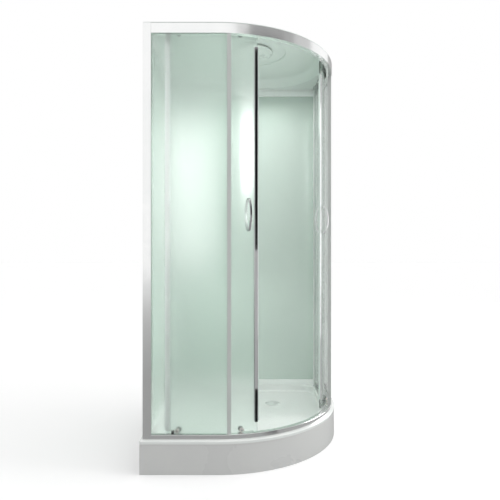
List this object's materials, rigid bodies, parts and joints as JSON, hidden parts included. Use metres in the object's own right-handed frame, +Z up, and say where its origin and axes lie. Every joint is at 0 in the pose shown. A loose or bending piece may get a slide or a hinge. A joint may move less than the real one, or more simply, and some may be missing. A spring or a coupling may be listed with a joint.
{
  "type": "quadrant shower enclosure",
  "caption": "Quadrant shower enclosure with low tray, satin glass curved sliding doors on rollers, aluminium rails, wall panes and thermoformed roof.",
  "frame": {"origin": "middle of the square footprint, on the floor", "axes": "+Z up; the room corner is at -X +Y and the curved front with the doors faces +X -Y; -Y is the side that the camera faces"},
  "size_m": [1, 1, 2.16],
  "materials": {
    "tray_white": "glossy white acrylic",
    "roof_white": "glossy thermoformed ABS",
    "rose_white": "glossy ABS",
    "rail_aluminium": "polished and anodised",
    "strip_aluminium": "satin anodised",
    "chrome": "bright chrome plate",
    "satin_glass": "tempered, satin etched, pale green",
    "wall_glass": "tempered, pale green, backed",
    "seal_white": "soft translucent vinyl",
    "black_rubber": "matt",
    "grey_plastic": "moulded acetal",
    "wheel_nylon": "moulded nylon",
    "zinc_steel": "zinc plated"
  },
  "bodies": {
    "root": {"shower_tray": "tray_white", "tray_apron": "tray_white", "tray_stand": "zinc_steel", "levelling_feet": "zinc_steel", "foot_nuts": "zinc_steel", "drain_body": "grey_plastic", "drain_cover": "chrome", "top_rail": "rail_aluminium", "bottom_rail": "rail_aluminium", "top_rail_filler": "rail_aluminium", "bottom_rail_filler": "rail_aluminium", "corner_post": "rail_aluminium", "roof": "roof_white", "roof_screws": "zinc_steel", "overhead_rose": "rose_white", "door_stops": "black_rubber", "rail_brackets": "zinc_steel", "rail_plugs": "grey_plastic", "left_front_post": "rail_aluminium", "right_front_post": "rail_aluminium", "left_wall_pane": "wall_glass", "right_wall_pane": "wall_glass", "left_wall_profile_top": "rail_aluminium", "right_wall_profile_top": "rail_aluminium", "left_wall_profile_bottom": "rail_aluminium", "right_wall_profile_bottom": "rail_aluminium", "left_fixed_pane": "satin_glass", "right_fixed_pane": "satin_glass", "left_fixed_strip": "strip_aluminium", "right_fixed_strip": "strip_aluminium"},
    "left_door": {"left_door_glass": "satin_glass", "left_lead_profile": "chrome", "left_magnet_seal": "seal_white", "left_trail_strip": "strip_aluminium", "left_drip_seal": "seal_white", "left_handle_outer": "chrome", "left_handle_inner": "chrome", "left_handle_bushes": "chrome", "left_roller_mounts_top": "grey_plastic", "left_roller_mounts_bottom": "grey_plastic"},
    "right_door": {"right_door_glass": "satin_glass", "right_lead_profile": "chrome", "right_magnet_seal": "seal_white", "right_trail_strip": "strip_aluminium", "right_drip_seal": "seal_white", "right_handle_outer": "chrome", "right_handle_inner": "chrome", "right_handle_bushes": "chrome", "right_roller_mounts_top": "grey_plastic", "right_roller_mounts_bottom": "grey_plastic"},
    "left_wheel_top_rear": {"left_wheel_top_rear": "wheel_nylon"},
    "right_wheel_top_rear": {"right_wheel_top_rear": "wheel_nylon"},
    "left_wheel_top_front": {"left_wheel_top_front": "wheel_nylon"},
    "right_wheel_top_front": {"right_wheel_top_front": "wheel_nylon"},
    "left_wheel_bottom_rear": {"left_wheel_bottom_rear": "wheel_nylon"},
    "right_wheel_bottom_rear": {"right_wheel_bottom_rear": "wheel_nylon"},
    "left_wheel_bottom_front": {"left_wheel_bottom_front": "wheel_nylon"},
    "right_wheel_bottom_front": {"right_wheel_bottom_front": "wheel_nylon"}
  },
  "joints": [
    {"name": "left_door_slide", "type": "hinge", "parent": "root", "child": "left_door", "pos_m": [-0.21115, 0.30558, 1.1], "axis": [0, 0, 1], "range_deg": [0, 19.12]},
    {"name": "right_door_slide", "type": "hinge", "parent": "root", "child": "right_door", "pos_m": [-0.30558, 0.21115, 1.1], "axis": [0, 0, -1], "range_deg": [0, 19.12]},
    {"name": "left_wheel_top_rear_roll", "type": "hinge", "parent": "left_door", "child": "left_wheel_top_rear", "pos_m": [-0.32944, -0.45707, 2.0593], "axis": [0.2197, 0.9756, 0], "range_deg": [0, 1340.4]},
    {"name": "right_wheel_top_rear_roll", "type": "hinge", "parent": "right_door", "child": "right_wheel_top_rear", "pos_m": [0.45707, 0.32944, 2.0593], "axis": [-0.9756, -0.2197, 0], "range_deg": [-1340.4, 0]},
    {"name": "left_wheel_top_front_roll", "type": "hinge", "parent": "left_door", "child": "left_wheel_top_front", "pos_m": [-0.02697, -0.44662, 2.0593], "axis": [-0.2865, 0.9581, 0], "range_deg": [0, 1346.4]},
    {"name": "right_wheel_top_front_roll", "type": "hinge", "parent": "right_door", "child": "right_wheel_top_front", "pos_m": [0.44662, 0.02697, 2.0593], "axis": [-0.9581, 0.2865, 0], "range_deg": [-1346.4, 0]},
    {"name": "left_wheel_bottom_rear_roll", "type": "hinge", "parent": "left_door", "child": "left_wheel_bottom_rear", "pos_m": [-0.32944, -0.45707, 0.1893], "axis": [0.2197, 0.9756, 0], "range_deg": [0, 1340.4]},
    {"name": "right_wheel_bottom_rear_roll", "type": "hinge", "parent": "right_door", "child": "right_wheel_bottom_rear", "pos_m": [0.45707, 0.32944, 0.1893], "axis": [-0.9756, -0.2197, 0], "range_deg": [-1340.4, 0]},
    {"name": "left_wheel_bottom_front_roll", "type": "hinge", "parent": "left_door", "child": "left_wheel_bottom_front", "pos_m": [-0.02697, -0.44662, 0.1893], "axis": [-0.2865, 0.9581, 0], "range_deg": [0, 1346.4]},
    {"name": "right_wheel_bottom_front_roll", "type": "hinge", "parent": "right_door", "child": "right_wheel_bottom_front", "pos_m": [0.44662, 0.02697, 0.1893], "axis": [-0.9581, 0.2865, 0], "range_deg": [-1346.4, 0]}
  ],
  "couplings": [
    {"joint": "left_wheel_top_rear_roll", "follows": "left_door_slide", "ratio": 70.001},
    {"joint": "right_wheel_top_rear_roll", "follows": "right_door_slide", "ratio": -70.001},
    {"joint": "left_wheel_top_front_roll", "follows": "left_door_slide", "ratio": 70.312},
    {"joint": "right_wheel_top_front_roll", "follows": "right_door_slide", "ratio": -70.312},
    {"joint": "left_wheel_bottom_rear_roll", "follows": "left_door_slide", "ratio": 70.001},
    {"joint": "right_wheel_bottom_rear_roll", "follows": "right_door_slide", "ratio": -70.001},
    {"joint": "left_wheel_bottom_front_roll", "follows": "left_door_slide", "ratio": 70.312},
    {"joint": "right_wheel_bottom_front_roll", "follows": "right_door_slide", "ratio": -70.312}
  ]
}
